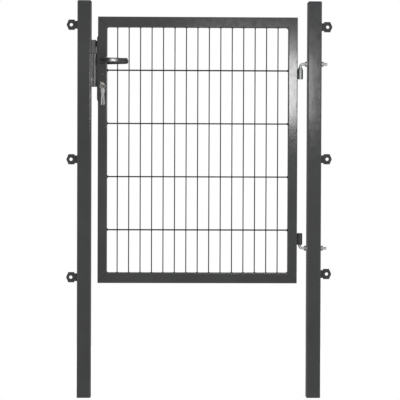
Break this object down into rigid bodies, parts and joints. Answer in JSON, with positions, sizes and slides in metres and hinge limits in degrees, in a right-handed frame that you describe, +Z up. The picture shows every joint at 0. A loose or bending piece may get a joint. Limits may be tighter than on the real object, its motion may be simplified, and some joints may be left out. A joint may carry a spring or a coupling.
{
  "type": "single fence gate",
  "caption": "Fence gate with a welded mesh leaf in a mitred tube frame, hung on hook hinges between square posts, with a lever lock, its keeper and its keys.",
  "frame": {"origin": "at foot level, in the middle of the hinge post's wall that faces the leaf, on the leaf's middle plane", "axes": "+Z up, -Y the side that the leaf opens towards and the key is in, +X from the latch post towards the hinge post"},
  "size_m": [1.159, 0.144, 1.73],
  "materials": {
    "paint": "anthracite powder coat, fine satin",
    "zinc": "bright zinc plate",
    "lock_steel": "satin steel",
    "brass": "satin nickelled brass",
    "nickel": "bright nickel plate",
    "cap_plastic": "moulded, dull",
    "black_nylon": "polished black"
  },
  "bodies": {
    "posts": {"latch_post": "paint", "hinge_post": "paint", "latch_post_cap": "cap_plastic", "hinge_post_cap": "cap_plastic", "latch_lug_low": "paint", "latch_lug_middle": "paint", "latch_lug_top": "paint", "hinge_lug_low": "paint", "hinge_lug_middle": "paint", "hinge_lug_top": "paint", "keeper": "paint", "upper_hook": "zinc", "lower_hook": "zinc", "upper_hinge_nuts": "zinc", "lower_hinge_nuts": "zinc", "upper_hinge_washers": "zinc", "lower_hinge_washers": "zinc"},
    "leaf": {"latch_stile": "paint", "hinge_stile": "paint", "top_rail": "paint", "bottom_rail": "paint", "mesh_panel": "paint", "upper_sleeve": "zinc", "lower_sleeve": "paint", "lock_strip": "paint", "lock_case": "lock_steel", "lock_bolts": "paint", "dead_bolt": "lock_steel", "front_lever_rose": "black_nylon", "rear_lever_rose": "black_nylon", "key_barrel": "brass", "key_in_barrel": "nickel", "key_ring": "nickel", "left_key": "nickel", "right_key": "nickel"},
    "latch": {"latch_bolt": "lock_steel"},
    "levers": {"spindle": "lock_steel", "front_lever": "black_nylon", "rear_lever": "black_nylon"}
  },
  "joints": [
    {"name": "leaf_swing", "type": "hinge", "parent": "posts", "child": "leaf", "pos_m": [-0.032, 0, 1], "axis": [0, 0, 1], "range_deg": [0, 90]},
    {"name": "lever_turn", "type": "hinge", "parent": "leaf", "child": "levers", "pos_m": [-0.895, 0, 1.468], "axis": [0, 1, 0], "range_deg": [0, 40], "stiffness_Nm_per_rad": 1, "springref_deg": -28.65},
    {"name": "latch_slide", "type": "slide", "parent": "leaf", "child": "latch", "axis": [1, 0, 0], "range_m": [0, 0.014]}
  ],
  "couplings": [
    {"joint": "latch_slide", "follows": "lever_turn", "m_per_rad": 0.02}
  ]
}
